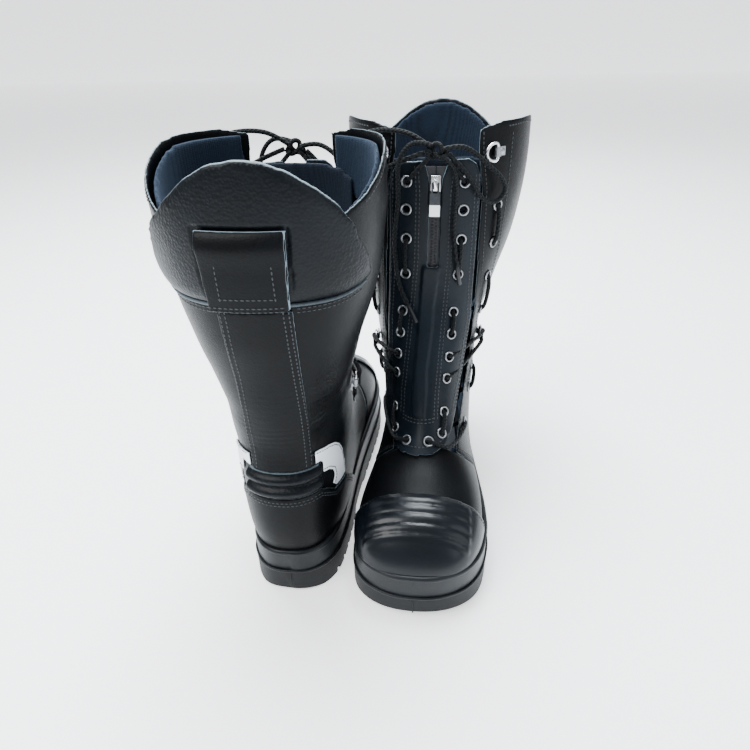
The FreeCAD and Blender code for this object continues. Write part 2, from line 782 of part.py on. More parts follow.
def cord(route, name):
    """A round tube along a route, with its length and tightest bend printed."""
    radius = lace_width / 2
    path, radii = rounded_path(route)
    section = Part.Wire([Part.makeCircle(radius, route[0], route[1] - route[0])])
    tube = path.makePipeShell([section], True, False)
    share = tube.Volume / (math.pi * radius ** 2 * path.Length)
    print("%s: length %.1f, volume share %.3f, radii %s"
          % (name, path.Length, share, " ".join("%.1f" % bend for bend in radii)))
    return tube


OUTSIDE = 5.4
INSIDE = -5.0


def seat_point(seat, lift):
    return seat[0] + seat[1] * lift


def laced_side(side):
    """One side's route, from behind the bottom of the insert up to the knot."""
    holes = insert_seats[side]
    edge = shaft_seats[side]
    frame = ankle_frames[side]
    ring = [
        frame.multVec(Vector(x, side * y, lift))
        for x, y, lift in ((12.5, -5, 7.2), (4.4, -5, 6.2), (4.4, 5, 6.2), (12.5, 5, 7.2))
    ]
    diagonal, normal = on_front(side * 23 - 3, 90)
    middle, middle_normal = on_front(-6, 97)
    knot, knot_normal = on_front(side * 3, 319)
    route = [
        middle + middle_normal * INSIDE,
        seat_point(holes[10], INSIDE),
        seat_point(holes[10], OUTSIDE),
        diagonal + normal * OUTSIDE,
        seat_point(edge[6], OUTSIDE - 2),
        seat_point(edge[6], INSIDE),
        seat_point(holes[9], INSIDE),
        seat_point(holes[9], OUTSIDE),
        seat_point(holes[8], OUTSIDE),
        seat_point(holes[8], INSIDE),
        seat_point(edge[5], INSIDE),
        seat_point(edge[5], OUTSIDE - 2),
        seat_point(edge[4], OUTSIDE - 2),
        seat_point(edge[4], INSIDE),
        seat_point(holes[7], INSIDE),
        seat_point(holes[7], OUTSIDE + 2),
    ]
    route += ring
    route += [
        seat_point(holes[6], OUTSIDE + 2),
        seat_point(holes[6], INSIDE),
        seat_point(holes[5], INSIDE),
        seat_point(holes[5], OUTSIDE),
        seat_point(holes[4], OUTSIDE),
        seat_point(holes[4], INSIDE),
        seat_point(edge[3], INSIDE),
        seat_point(edge[3], OUTSIDE - 2),
        seat_point(edge[2], OUTSIDE - 2),
        seat_point(edge[2], INSIDE),
        seat_point(holes[3], INSIDE),
        seat_point(holes[3], OUTSIDE),
        seat_point(holes[2], OUTSIDE),
        seat_point(holes[2], INSIDE),
        seat_point(edge[1], INSIDE),
        seat_point(edge[1], OUTSIDE - 2),
        seat_point(edge[0], OUTSIDE - 2),
        seat_point(edge[0], INSIDE),
        seat_point(holes[0], INSIDE),
        seat_point(holes[0], OUTSIDE),
        knot + knot_normal * (OUTSIDE + 2.5),
    ]
    return route


add_feature(
    "right_lace",
    group([cord(laced_side(1), "lace, outer side"), cord(laced_side(-1), "lace, inner side")]),
)

# The bow lies on the front of the insert and the flaps.  Each strand is a list of X, height
# and lift from the leather, from the knot outwards.
BOW_STRANDS = {
    "loop lateral": [(4, 322, 9), (14, 325, 9), (24, 321, 9.5), (34, 311, 9), (45, 301, 8.5),
                     (50, 289.5, 8), (42, 280.5, 8), (31, 287, 8), (25, 299, 8),
                     (17, 310, 8.5), (8, 319, 9)],
    "loop medial": [(-4, 323, 9), (-14, 331, 8.5), (-27, 334.5, 8), (-41, 334, 8),
                    (-54, 329, 8.5), (-60.5, 320, 8.5), (-58, 309.5, 8.5), (-47, 304.5, 8.5),
                    (-34, 308, 9), (-21, 315, 9.5), (-8, 320, 9.5)],
    "end medial": [(-3, 325, 12), (-11, 328, 13), (-19, 325, 13.5), (-25, 314, 12.5),
                   (-26, 300, 9.5), (-26, 285, 7), (-28, 268, 6.2), (-29, 249, 6.2),
                   (-27, 230, 6.4), (-24, 213, 6.8), (-17, 199, 7.2)],
    "end lateral": [(3, 318, 12), (10, 313, 12), (14, 302, 9), (15, 287, 6.6), (14, 270, 6.2),
                    (15, 252, 6.2), (18, 233, 6.4)],
}


def strand_route(strand):
    route = []
    for x, z, lift in strand:
        point, normal = on_front(x, z)
        route.append(point + normal * lift)
    return route


bow = []
knot_point, knot_normal = on_front(0, 320.5)
knot = Part.makeSphere(5.2, knot_point + knot_normal * 10.4)
bow.append(knot)
for name, strand in BOW_STRANDS.items():
    route = strand_route(strand)
    tube = cord(route, name)
    if name.startswith("end"):
        tip_run = route[-1] - route[-2]
        tip_run.normalize()
        tip = Part.makeCylinder(lace_width / 2 - 0.2, 16, route[-1], tip_run)
        bow.append(tip)
    bow.append(tube.cut(knot))
add_feature("right_lace_bow", group(bow))

# ---------------------------------------------------------------- the pair

right_place = Placement(Vector(0, 0, 0), Rotation(UP, size("right_turn")))
left_place = Placement(
    Vector(size("left_shift_x"), size("left_shift_y"), 0), Rotation(UP, size("left_turn"))
)
for item in nodes.values():
    item.Placement = right_place.multiply(item.Placement)
doc.recompute()

left_nodes = {}
for label, item in nodes.items():
    left_label = label.replace("right_", "left_")
    mirror = doc.addObject("Part::Mirroring", left_label)
    mirror.Label = left_label
    mirror.Source = item
    mirror.Base = (0, 0, 0)
    mirror.Normal = (0, 1, 0)
    left_nodes[left_label] = mirror


def place_left(shift):
    """Each mirror image has its source's placement in it, which is undone first."""
    undo = Placement(Vector(shift.x, -shift.y, 0), Rotation(UP, -size("right_turn"))).inverse()
    for mirror in left_nodes.values():
        mirror.Placement = Placement(shift, Rotation()) * left_place * undo
    doc.recompute()


def pair_box(items):
    """The box round every piece but the free cords."""
    box = FreeCAD.BoundBox()
    for label, item in items:
        if not label.endswith("_lace_bow"):
            for point in item.Shape.tessellate(0.1)[0]:
                box.add(point)
    return box


# The middle of the pair's box is brought over the origin.
place_left(Vector(0, 0, 0))
everything = list(nodes.items()) + list(left_nodes.items())
box = pair_box(everything)
shift = Vector(-(box.XMin + box.XMax) / 2, -(box.YMin + box.YMax) / 2, 0)
for item in nodes.values():
    item.Placement = Placement(shift, Rotation()) * item.Placement
place_left(shift)

for item in doc.Objects:
    if "Invalid" in item.State or "Error" in item.State:
        raise RuntimeError("%s failed: %s" % (item.Label, item.State))
for label, item in everything:
    if item.Shape.isNull() or not item.Shape.isValid():
        raise RuntimeError(label + " has no valid shape")

os.makedirs("parts", exist_ok=True)
for label, item in everything:
    item.Shape.exportStep("parts/%s.step" % label)
box = pair_box(everything)
print("nodes %d, pair box %s" % (len(everything), box))
print("moved by", shift)
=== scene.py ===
import json
import math

import bmesh
import bpy
from mathutils import Matrix, Vector, kdtree, noise
from mathutils.bvhtree import BVHTree

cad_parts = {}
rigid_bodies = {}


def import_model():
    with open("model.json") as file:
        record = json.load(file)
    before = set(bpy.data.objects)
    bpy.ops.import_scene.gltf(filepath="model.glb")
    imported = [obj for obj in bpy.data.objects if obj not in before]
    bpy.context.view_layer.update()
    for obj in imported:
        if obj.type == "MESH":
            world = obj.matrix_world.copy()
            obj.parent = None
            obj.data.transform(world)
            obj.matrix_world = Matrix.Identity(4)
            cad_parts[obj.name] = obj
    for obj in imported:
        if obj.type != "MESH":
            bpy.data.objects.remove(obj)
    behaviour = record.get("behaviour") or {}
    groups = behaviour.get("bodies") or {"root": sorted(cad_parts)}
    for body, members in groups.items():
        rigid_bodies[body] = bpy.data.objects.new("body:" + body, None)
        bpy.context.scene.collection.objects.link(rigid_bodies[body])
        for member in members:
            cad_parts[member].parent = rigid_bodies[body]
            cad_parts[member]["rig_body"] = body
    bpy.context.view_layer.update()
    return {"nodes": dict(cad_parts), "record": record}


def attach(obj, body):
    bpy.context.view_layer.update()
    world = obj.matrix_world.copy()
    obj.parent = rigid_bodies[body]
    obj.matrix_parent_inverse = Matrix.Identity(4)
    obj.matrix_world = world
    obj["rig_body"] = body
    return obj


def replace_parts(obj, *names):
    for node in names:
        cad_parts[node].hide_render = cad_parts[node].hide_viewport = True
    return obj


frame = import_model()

mm = 0.001
record = frame["record"]
mounts = {mount["name"]: Vector(mount["pos_m"]) for mount in record["mounts"]}

# Where each boot stands: its turn about Z, and whether it is the mirror image.
# A boot's own frame has the heel at the origin, the toe along +Y and the outer side at +X.
soleFace = Vector((0, 200 * mm, 0))
boots = {
    "right": {"turn": -4.0, "mirror": 1},
    "left": {"turn": -5.5, "mirror": -1},
}
for bootName, boot in boots.items():
    flip = Matrix.Diagonal((1, boot["mirror"], 1, 1))
    turn = Matrix.Rotation(math.radians(boot["turn"]), 4, "Z") @ flip
    boot["matrix"] = Matrix.Translation(mounts[bootName + "_sole_face"] - turn @ soleFace) @ turn
    boot["inverse"] = boot["matrix"].inverted()
    boot["body"] = bootName + "_boot"
print("boots placed")

# The camera.
look = {"from": (0.0782, -0.3143, 0.39741), "down": 31.18, "yaw": -1.22, "roll": -1.08,
        "lens": 27.33, "sensor": 36}
down, yaw, roll = (math.radians(look[key]) for key in ("down", "yaw", "roll"))
ahead = Vector((math.sin(yaw) * math.cos(down), math.cos(yaw) * math.cos(down), -math.sin(down)))
level = Vector((math.cos(yaw), -math.sin(yaw), 0))
above = level.cross(ahead)
aside = level * math.cos(roll) + above * math.sin(roll)
above = above * math.cos(roll) - level * math.sin(roll)
cameraData = bpy.data.cameras.new("camera")
cameraData.lens = look["lens"]
cameraData.sensor_width = look["sensor"]
camera = bpy.data.objects.new("camera", cameraData)
bpy.context.scene.collection.objects.link(camera)
camera.matrix_world = (
    Matrix.Translation(boots["right"]["matrix"].translation + Vector(look["from"]))
    @ Matrix((aside, above, -ahead)).transposed().to_4x4()
)
bpy.context.scene.camera = camera

# The surface that every layer of the upper follows, in millimetres: front Y, Z; back Y, Z;
# middle X; half width; squareness of the front and the back half of the section.
stations = [
    (139.0, 352, -8, 352, 0, 75, 2.2, 2.2),
    (140.5, 319, -8, 318, 0, 76, 2.2, 2.2),
    (142.0, 286, -7, 285, 0, 75, 2.2, 2.2),
    (143.5, 253, -4, 250, 0, 70, 2.2, 2.2),
    (145.0, 220, 2, 212, -2, 61, 2.2, 2.2),
    (151.0, 190, 8, 172, -3, 51, 2.2, 2.2),
    (163.0, 168, 10, 134, -3, 46, 2.2, 2.2),
    (172.0, 150, 4, 100, -2, 44, 2.1, 2.3),
    (181.0, 134, 0, 66, -1, 43, 2.0, 2.5),
    (190.0, 120, 4, 30, 0, 42, 2.0, 2.6),
    (199.0, 108, 34, 8, 0, 41, 2.0, 2.5),
    (208.0, 98, 96, 8, 0, 43, 2.0, 2.4),
    (217.0, 91, 162, 10, 0, 47, 2.1, 2.3),
    (230.0, 85, 212, 12, -1, 51, 2.2, 2.3),
    (248.0, 81, 246, 12, -2, 52, 2.3, 2.3),
    (266.0, 76, 268, 14, -3, 50, 2.3, 2.3),
    (283.0, 68, 286, 18, -4, 43, 2.3, 2.3),
    (295.0, 54, 297, 26, -4, 30, 2.2, 2.2),
    (300.0, 40, 300, 32, -4, 13, 2.0, 2.0),
]
lastStation = len(stations) - 1


def sectionAt(place):
    # a smooth curve that runs near all the stations
    place = min(max(place, 0.0), lastStation - 1e-9)
    index = int(place)
    t = place - index
    weights = ((1 - t) ** 3 / 6, (3 * t ** 3 - 6 * t ** 2 + 4) / 6,
               (-3 * t ** 3 + 3 * t ** 2 + 3 * t + 1) / 6, t ** 3 / 6)
    total = [0.0] * 8
    for step, weight in enumerate(weights):
        number = index - 1 + step
        if number < 0:
            row = [2 * a - b for a, b in zip(stations[0], stations[1])]
        elif number > lastStation:
            row = [2 * a - b for a, b in zip(stations[-1], stations[-2])]
        else:
            row = stations[number]
        total = [soFar + weight * value for soFar, value in zip(total, row)]
    return total


def skinPoint(place, angle):
    # angle 0 is the front or top of the boot, and a right angle is its outer side
    frontY, frontZ, backY, backZ, middle, half, frontSquare, backSquare = sectionAt(place)
    along, across = math.cos(angle), math.sin(angle)
    square = frontSquare if along >= 0 else backSquare
    along = math.copysign(abs(along) ** (2 / square), along)
    across = math.copysign(abs(across) ** (2 / square), across)
    return Vector((middle + across * half,
                   (frontY + backY) / 2 + along * (frontY - backY) / 2,
                   (frontZ + backZ) / 2 + along * (frontZ - backZ) / 2))


def skinNormal(place, angle):
    step = 1e-3
    run = skinPoint(place + step, angle) - skinPoint(place - step, angle)
    turnRound = skinPoint(place, angle + step) - skinPoint(place, angle - step)
    return turnRound.cross(run).normalized()


# The same surface, sampled once: a tree for rays, and one that finds the nearest normal.
sampling = {"places": 150, "angles": 150}
skinMesh = bmesh.new()
bmesh.ops.create_grid(skinMesh, x_segments=sampling["places"], y_segments=sampling["angles"],
                      size=0.5)
skinMesh.verts.ensure_lookup_table()
nearest = kdtree.KDTree(len(skinMesh.verts))
skinFacts = []
for vert in skinMesh.verts:
    place = (vert.co.x + 0.5) * (lastStation - 0.05)
    angle = vert.co.y * 2 * math.pi
    vert.co = skinPoint(place, angle)
    skinFacts.append((place, angle, skinNormal(place, angle)))
    nearest.insert(vert.co, vert.index)
nearest.balance()
skinMesh.normal_update()
skinTree = BVHTree.FromBMesh(skinMesh)
skinMesh.free()


def shoot(origin, direction, lift):
    # where a ray meets the surface, lifted outwards, with the outward normal there
    hit, _, _, _ = skinTree.ray_cast(Vector(origin), Vector(direction))
    if hit is None:
        return None, None
    normal = skinFacts[nearest.find(hit)[1]][2]
    return hit + normal * lift, normal


def frontAngle(place, x):
    row = sectionAt(place)
    across = (x - row[4]) / row[5]
    return math.copysign(math.asin(min(abs(across), 0.999) ** (row[6] / 2)), across)


def onFront(x, z, lift=0.0):
    # the front or top of the boot at a given X and height
    low, high = 0.0, lastStation - 1.0
    for _ in range(26):
        place = (low + high) / 2
        angle = frontAngle(place, x)
        if skinPoint(place, angle).z > z:
            low = place
        else:
            high = place
    normal = skinNormal(place, angle)
    return skinPoint(place, angle) + normal * lift, normal


def onBack(x, z, lift=0.0):
    return shoot((x, -100, z), (0, 1, 0), lift)


def onSide(y, z, side, lift=0.0):
    return shoot((side * 200, y, z), (-side, 0, 0), lift)


print("surface sampled")

# ---------- materials


class Wire:
    # a socket that takes part in sums, each of which adds its own Math node

    def __init__(self, maker, socket):
        self.maker = maker
        self.socket = socket

    def maths(self, operation, *others):
        return self.maker.node("ShaderNodeMath", {"operation": operation},
                               dict(enumerate((self,) + others)))

    def __add__(self, other):
        return self.maths("ADD", other)

    def __sub__(self, other):
        return self.maths("SUBTRACT", other)

    def __mul__(self, other):
        return self.maths("MULTIPLY", other)

    def __rsub__(self, other):
        return (self * -1) + other

    __radd__ = __add__
    __rmul__ = __mul__

    def sine(self):
        return self.maths("SINE")

    def most(self, other):
        return self.maths("MAXIMUM", other)

    def between(self, low, high):
        # 0 below low, 1 above high, and a soft step from one to the other
        return self.maker.node("ShaderNodeMapRange", {"interpolation_type": "SMOOTHSTEP"},
                               {"Value": self, "From Min": low, "From Max": high})


class Finish:
    # one material, its nodes and its Principled shader

    def __init__(self, name, **constants):
        self.material = bpy.data.materials.new(name)
        self.material.use_nodes = True
        self.tree = self.material.node_tree
        self.shader = self.tree.nodes["Principled BSDF"]
        for socket, value in constants.items():
            self.feed(self.shader, socket.replace("_", " "), value)
        self.place = self.node("ShaderNodeTexCoord", {}, {}, "Object")
        self.uv = self.node("ShaderNodeTexCoord", {}, {}, "UV")

    def feed(self, node, socket, value):
        if isinstance(value, Wire):
            self.tree.links.new(value.socket, node.inputs[socket])
        elif isinstance(value, tuple) and len(value) == 3 and node.inputs[socket].type == "RGBA":
            node.inputs[socket].default_value = value + (1,)
        else:
            node.inputs[socket].default_value = value

    def node(self, kind, settings, values, output=0):
        made = self.tree.nodes.new(kind)
        for name, value in settings.items():
            if name == "stops":
                while len(made.color_ramp.elements) < len(value):
                    made.color_ramp.elements.new(0.5)
                for element, (at, colour) in zip(made.color_ramp.elements, value):
                    element.position = at
                    element.color = colour + (1,)
            else:
                setattr(made, name, value)
        for socket, value in values.items():
            self.feed(made, socket, value)
        return Wire(self, made.outputs[output])

    def cloud(self, scale, detail=3.0, roughness=0.5, stretch=None):
        place = self.place
        if stretch:
            place = self.node("ShaderNodeMapping", {}, {"Vector": place, "Scale": stretch})
        return self.node("ShaderNodeTexNoise", {}, {"Vector": place, "Scale": scale,
                                                    "Detail": detail, "Roughness": roughness})

    def cells(self, scale, scatter=1.0):
        return self.node("ShaderNodeTexVoronoi", {"feature": "F1"},
                         {"Vector": self.place, "Scale": scale, "Randomness": scatter},
                         "Distance")

    def attribute(self, name):
        return self.node("ShaderNodeAttribute", {"attribute_name": name}, {}, "Fac")

    def mix(self, share, first, second):
        made = self.tree.nodes.new("ShaderNodeMix")
        made.data_type = "RGBA"
        self.feed(made, 0, share)
        for index, value in ((6, first), (7, second)):
            self.feed(made, index, value)
        return Wire(self, made.outputs[2])

    def bump(self, height, depth, strength=1.0, under=None):
        values = {"Height": height, "Distance": depth, "Strength": strength}
        if under is not None:
            values["Normal"] = under
        return self.node("ShaderNodeBump", {}, values)

    def shade(self, **sockets):
        for socket, value in sockets.items():
            self.feed(self.shader, socket.replace("_", " "), value)
        return self.material


def shaded(colour, share):
    return tuple(part * share for part in colour)


def leatherFinish(name, grain, depth, colour, roughness, edgeColour=(0.17, 0.22, 0.25), gloss=0.04):
    made = Finish(name, Coat_Roughness=0.3, Specular_IOR_Level=0.07, Coat_Tint=(0.7, 0.85, 1.0))
    pores = made.cells(grain)
    wrinkles = made.cloud(grain * 0.45, 4.0, 0.6)
    broad = made.cloud(14.0, 3.0)
    edge = made.attribute("edge").between(0.35, 0.75)
    height = pores * 0.7 + wrinkles * 0.6
    soft = made.bump(broad, 0.0016, 0.35)
    tone = made.mix(broad.between(0.35, 0.7), colour, shaded(colour, 1.7))
    worn = made.mix(pores.between(0.55, 0.9) * 0.5, tone, shaded(colour, 0.45))
    rough = (wrinkles - 0.5) * 0.22 + (broad - 0.5) * 0.2 + roughness
    return made.shade(
        Base_Color=made.mix(edge, worn, edgeColour),
        Roughness=rough + edge * 0.3,
        Coat_Weight=(1 - edge) * gloss,
        Normal=made.bump(height, depth, 0.8, soft),
    )


def liningFinish(name, colour):
    made = Finish(name, Roughness=0.85, Specular_IOR_Level=0.2, Sheen_Weight=0.12,
                  Sheen_Roughness=0.5, Sheen_Tint=(0.4, 0.55, 0.8))
    knit = made.cells(900.0, 0.25)
    lofty = made.cloud(60.0, 2.0)
    fuzz = made.cloud(1500.0, 2.0)
    # painted light and painted shade: the raised middles of the knit loops are painted lighter and
    # the sunken grooves between them darker
    tone = made.mix(knit.between(0.2, 0.75), shaded(colour, 1.6), shaded(colour, 0.5))
    return made.shade(
        Base_Color=made.mix(lofty.between(0.3, 0.7) * 0.5, tone, shaded(colour, 1.3)),
        Normal=made.bump(fuzz * 0.3 - knit, 0.0005, 0.7),
    )


def rubberFinish(name, colour, roughness, gloss):
    made = Finish(name, Coat_Roughness=0.22, Specular_IOR_Level=0.12, Coat_Tint=(0.8, 0.9, 1.0))
    grain = made.cloud(1800.0, 2.0)
    flow = made.cloud(24.0, 3.0)
    scuffs = made.cloud(90.0, 5.0, 0.7, (1.0, 1.0, 4.0)).between(0.6, 0.78)
    tone = made.mix(flow.between(0.3, 0.75), colour, shaded(colour, 1.6))
    return made.shade(
        Base_Color=made.mix(scuffs * 0.4, tone, tuple(c * 2.6 + 0.01 for c in colour)),
        Roughness=(flow - 0.5) * 0.16 + scuffs * 0.12 + roughness,
        Coat_Weight=(1 - scuffs) * gloss,
        Normal=made.bump(grain + flow * 4, 0.00022, 0.6),
    )


def metalFinish(name, colour, roughness):
    made = Finish(name, Metallic=1.0)
    hairs = made.cloud(700.0, 4.0, 0.6, (1.0, 6.0, 1.0))
    stains = made.cloud(180.0, 3.0)
    return made.shade(
        Base_Color=made.mix(stains.between(0.45, 0.8) * 0.6, colour, shaded(colour, 0.6)),
        Roughness=(hairs - 0.5) * 0.25 + stains * 0.08 + roughness,
        Normal=made.bump(hairs, 0.00006, 0.4),
    )


def patchFinish(name):
    made = Finish(name, Metallic=0.35, Sheen_Weight=0.2)
    beads = made.cells(1400.0, 0.35)
    creases = made.cloud(120.0, 4.0)
    dusty = made.cloud(40.0, 3.0).between(0.45, 0.75)
    edge = made.attribute("edge").between(0.4, 0.8)
    clean = made.mix(dusty * 0.35, (0.8, 0.84, 0.9), (0.5, 0.55, 0.62))
    return made.shade(
        Base_Color=made.mix(edge, clean, (0.12, 0.13, 0.14)),
        Roughness=beads * 0.15 + 0.36,
        Normal=made.bump(beads + creases * 2, 0.0002, 0.5),
    )


def cordFinish(name, colour, across, along):
    # two families of yarns that cross, on the cord's own U (along) and V (round)
    made = Finish(name, Roughness=0.62, Specular_IOR_Level=0.12, Sheen_Weight=0.02,
                  Sheen_Roughness=0.4)
    split = made.node("ShaderNodeSeparateXYZ", {}, {"Vector": made.uv}, "X")
    other = made.node("ShaderNodeSeparateXYZ", {}, {"Vector": made.uv}, "Y")
    first = (split * along + other * across).sine()
    second = (split * along - other * across).sine()
    yarns = first.most(second)
    fuzz = made.cloud(2500.0, 2.0)
    # painted shade: the valleys between the crossing yarns are painted darker than the yarn crests
    return made.shade(
        Base_Color=made.mix(yarns.between(-0.2, 0.9), shaded(colour, 0.35), colour),
        Normal=made.bump(yarns + fuzz * 0.4, 0.00035, 0.8),
    )


def tapeFinish(name):
    made = Finish(name, Roughness=0.6)
    ribs = made.node("ShaderNodeTexWave", {"bands_direction": "Z"},
                     {"Vector": made.place, "Scale": 400.0, "Distortion": 0.4})
    tone = made.cloud(300.0)
    return made.shade(
        Base_Color=made.mix(tone, (0.006, 0.006, 0.008), (0.022, 0.024, 0.03)),
        Normal=made.bump(ribs, 0.0002, 0.5),
    )


def boardFinish(name, colour):
    made = Finish(name, Roughness=0.8)
    fibres = made.cloud(700.0, 5.0, 0.6, (1.0, 4.0, 1.0))
    return made.shade(
        Base_Color=made.mix(fibres, shaded(colour, 0.7), colour),
        Normal=made.bump(fibres, 0.0003, 0.5),
    )


def twineFinish(name):
    made = Finish(name, Roughness=0.6)
    twist = made.cloud(2600.0, 2.0)
    return made.shade(
        Base_Color=made.mix(twist, (0.008, 0.01, 0.013), (0.03, 0.038, 0.045)),
        Normal=made.bump(twist, 0.0002, 0.6),
    )


def pullFinish(name):
    # dark metal, but bright where the "end" attribute marks the lower end
    made = Finish(name, Metallic=1.0, Roughness=0.25)
    end = made.attribute("end").between(0.02, 0.1)
    dark = made.mix(made.cloud(300.0), (0.02, 0.022, 0.026), (0.06, 0.065, 0.07))
    return made.shade(Base_Color=made.mix(end, dark, (0.78, 0.8, 0.83)))


blackLeather = (0.0018, 0.0022, 0.0028)
finishes = {
    "leather": leatherFinish("smoothLeather", 1150.0, 0.00022, blackLeather, 0.36),
    "padding": leatherFinish("pebbledLeather", 560.0, 0.0006, (0.0022, 0.0032, 0.0045), 0.38,
                             gloss=0.12),
    "insert": leatherFinish("insertLeather", 1100.0, 0.00022, (0.0042, 0.0068, 0.0098), 0.4,
                            (0.2, 0.27, 0.32), 0.16),
    "strap": leatherFinish("strapLeather", 900.0, 0.00026, blackLeather, 0.4, (0.26, 0.34, 0.4)),
    "piping": leatherFinish("pipingLeather", 900.0, 0.0002, (0.05, 0.062, 0.072), 0.4,
                            (0.1, 0.12, 0.14)),
    "lining": liningFinish("navyLining", (0.006, 0.013, 0.026)),
    "tongue": liningFinish("tongueCloth", (0.005, 0.009, 0.017)),
    "footbed": liningFinish("footbedFelt", (0.03, 0.032, 0.036)),
    "sole": rubberFinish("soleRubber", (0.0075, 0.0084, 0.0095), 0.55, 0.02),
    "midsole": rubberFinish("midsoleRubber", (0.0065, 0.0078, 0.0092), 0.4, 0.12),
    "toe": rubberFinish("toeRubber", (0.0022, 0.0034, 0.0052), 0.3, 0.3),
    "tip": rubberFinish("laceTip", (0.01, 0.01, 0.012), 0.3, 0.4),
    "patch": patchFinish("silverPatch"),
    "nickel": metalFinish("brightNickel", (0.72, 0.73, 0.75), 0.16),
    "gunmetal": metalFinish("satinGunmetal", (0.3, 0.31, 0.33), 0.34),
    "steel": metalFinish("plainSteel", (0.5, 0.51, 0.53), 0.4),
    "pull": pullFinish("zipPullMetal"),
    "thread": twineFinish("sewingTwine"),
    "tape": tapeFinish("zipTape"),
    "board": boardFinish("fibreBoard", (0.35, 0.3, 0.22)),
}
print("materials made")

# ---------- helpers for pieces


def mergedCopy(node):
    # the CAD node's mesh with its loose triangles joined
    solid = bmesh.new()
    solid.from_mesh(frame["nodes"][node].data)
    bmesh.ops.remove_doubles(solid, verts=solid.verts, dist=2e-6)
    return solid


def makePiece(name, shape, finish, body, smooth=True):
    mesh = shape
    if isinstance(shape, bmesh.types.BMesh):
        mesh = bpy.data.meshes.new(name)
        shape.to_mesh(mesh)
        shape.free()
    piece = bpy.data.objects.new(name, mesh)
    bpy.context.scene.collection.objects.link(piece)
    mesh.materials.clear()
    mesh.materials.append(finishes[finish])
    for polygon in mesh.polygons:
        polygon.use_smooth = smooth
    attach(piece, body)
    return piece


def remeshed(name, solid, voxel, rounds):
    # a voxel remesh that rounds every edge the way cut leather has it
    mesh = bpy.data.meshes.new(name)
    solid.to_mesh(mesh)
    solid.free()
    rough = bpy.data.objects.new(name + "Rough", mesh)
    bpy.context.scene.collection.objects.link(rough)
    remesh = rough.modifiers.new("remesh", "REMESH")
    remesh.mode = "VOXEL"
    remesh.voxel_size = voxel
    graph = bpy.context.evaluated_depsgraph_get()
    made = bpy.data.meshes.new_from_object(rough.evaluated_get(graph))
    bpy.data.objects.remove(rough)
    shape = bmesh.new()
    shape.from_mesh(made)
    for _ in range(rounds):
        bmesh.ops.smooth_vert(shape, verts=shape.verts, factor=0.5,
                              use_axis_x=True, use_axis_y=True, use_axis_z=True)
    return shape


def clamped(share):
    return min(max(share, 0.0), 1.0)


# the leather creases most at this height, in mm
ankleFold = {"height": 150, "spread": 45, "depth": 1.5}


def softness(place, angle, point):
    # gentle waves of the leather, in mm, that fade out towards the laced front and the sole
    aside = clamped((abs(angle) - 0.8) / 0.7)
    height = clamped((point.z - 60) / 60)
    wave = noise.noise(Vector((point.x * 0.018 + 3, point.y * 0.018, point.z * 0.026)))
    ankle = math.exp(-((point.z - ankleFold["height"]) / ankleFold["spread"]) ** 2)
    fold = noise.noise(Vector((math.cos(angle) * 1.4, math.sin(angle) * 1.4 + 7, place * 1.6)))
    return (wave * 1.3 + fold * ankle * ankleFold["depth"]) * aside * height


def dressed(bootName, part, finish, voxel, rounds, puff, wavy):
    # a leather, foam or cloth layer: remeshed, gently waved and marked where its cut edge shows
    node = bootName + "_" + part
    boot = boots[bootName]
    shape = remeshed(node, mergedCopy(node), voxel, rounds)
    shape.normal_update()
    edge = shape.verts.layers.float.new("edge")
    toBoot = boot["inverse"]
    turnIn = toBoot.to_3x3()
    moves = []
    for vert in shape.verts:
        point = toBoot @ vert.co / mm
        place, angle, normal = skinFacts[nearest.find(point)[1]]
        facing = abs((turnIn @ vert.normal).normalized().dot(normal))
        vert[edge] = 1 - facing
        rise = softness(place, angle, point) if wavy else 0.0
        if puff:
            rise += puff(point, place, angle)
        moves.append(normal * rise)
    toFrame = boot["matrix"].to_3x3()
    for vert, move in zip(shape.verts, moves):
        vert.co += toFrame @ move * mm
    piece = makePiece(node + "_skin", shape, finish, boot["body"])
    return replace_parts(piece, node)


def partBody(node):
    return frame["nodes"][node]["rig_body"]


sharpAngle = math.radians(40)


def bevelled(node, finish, width):
    # a hard piece: the CAD shape with its edges broken
    piece = makePiece(node + "_finished", mergedCopy(node), finish, partBody(node))
    if width:
        bevel = piece.modifiers.new("edges", "BEVEL")
        bevel.width = width
        bevel.segments = 2
        bevel.limit_method = "ANGLE"
        bevel.angle_limit = sharpAngle
    piece.data.set_sharp_from_angle(angle=sharpAngle)
    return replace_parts(piece, node)


def zipPull(node):
    # a dark pull whose lower end is bright
    shape = mergedCopy(node)
    brightBelow = {"height": 282.5, "fade": 1.0}
    bmesh.ops.bisect_plane(shape, geom=shape.verts[:] + shape.edges[:] + shape.faces[:],
                           plane_co=(0, 0, brightBelow["height"] * mm), plane_no=(0, 0, 1))
    end = shape.verts.layers.float.new("end")
    for vert in shape.verts:
        drop = brightBelow["height"] - vert.co.z / mm
        vert[end] = clamped(drop / brightBelow["fade"])
    piece = makePiece(node + "_finished", shape, "pull", partBody(node),
                      smooth=False)
    bevel = piece.modifiers.new("edges", "BEVEL")
    bevel.width = 0.3 * mm
    bevel.segments = 2
    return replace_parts(piece, node)


def trackOf(spots, pitch):
    # points and normals every pitch along a run of surface points
    spots = [spot for spot in spots if spot[0] is not None]
    track = []
    owed = 0.0
    for (point, normal), (after, _) in zip(spots, spots[1:]):
        length = (after - point).length
        while owed < length:
            share = owed / length
            track.append((point.lerp(after, share), normal, (after - point).normalized()))
            owed += pitch
        owed -= length
    return track


def walk(shooter, corners, lift, pitch, *extra):
    # a track over the surface from a short outline of two coordinates
    spots = []
    for (a, b), (c, d) in zip(corners, corners[1:]):
        steps = max(2, int(math.hypot(c - a, d - b) / 2))
        for number in range(steps):
            share = number / steps
            spots.append(shooter(a + (c - a) * share, b + (d - b) * share, *extra, lift))
    spots.append(shooter(*corners[-1], *extra, lift))
    return trackOf(spots, pitch)


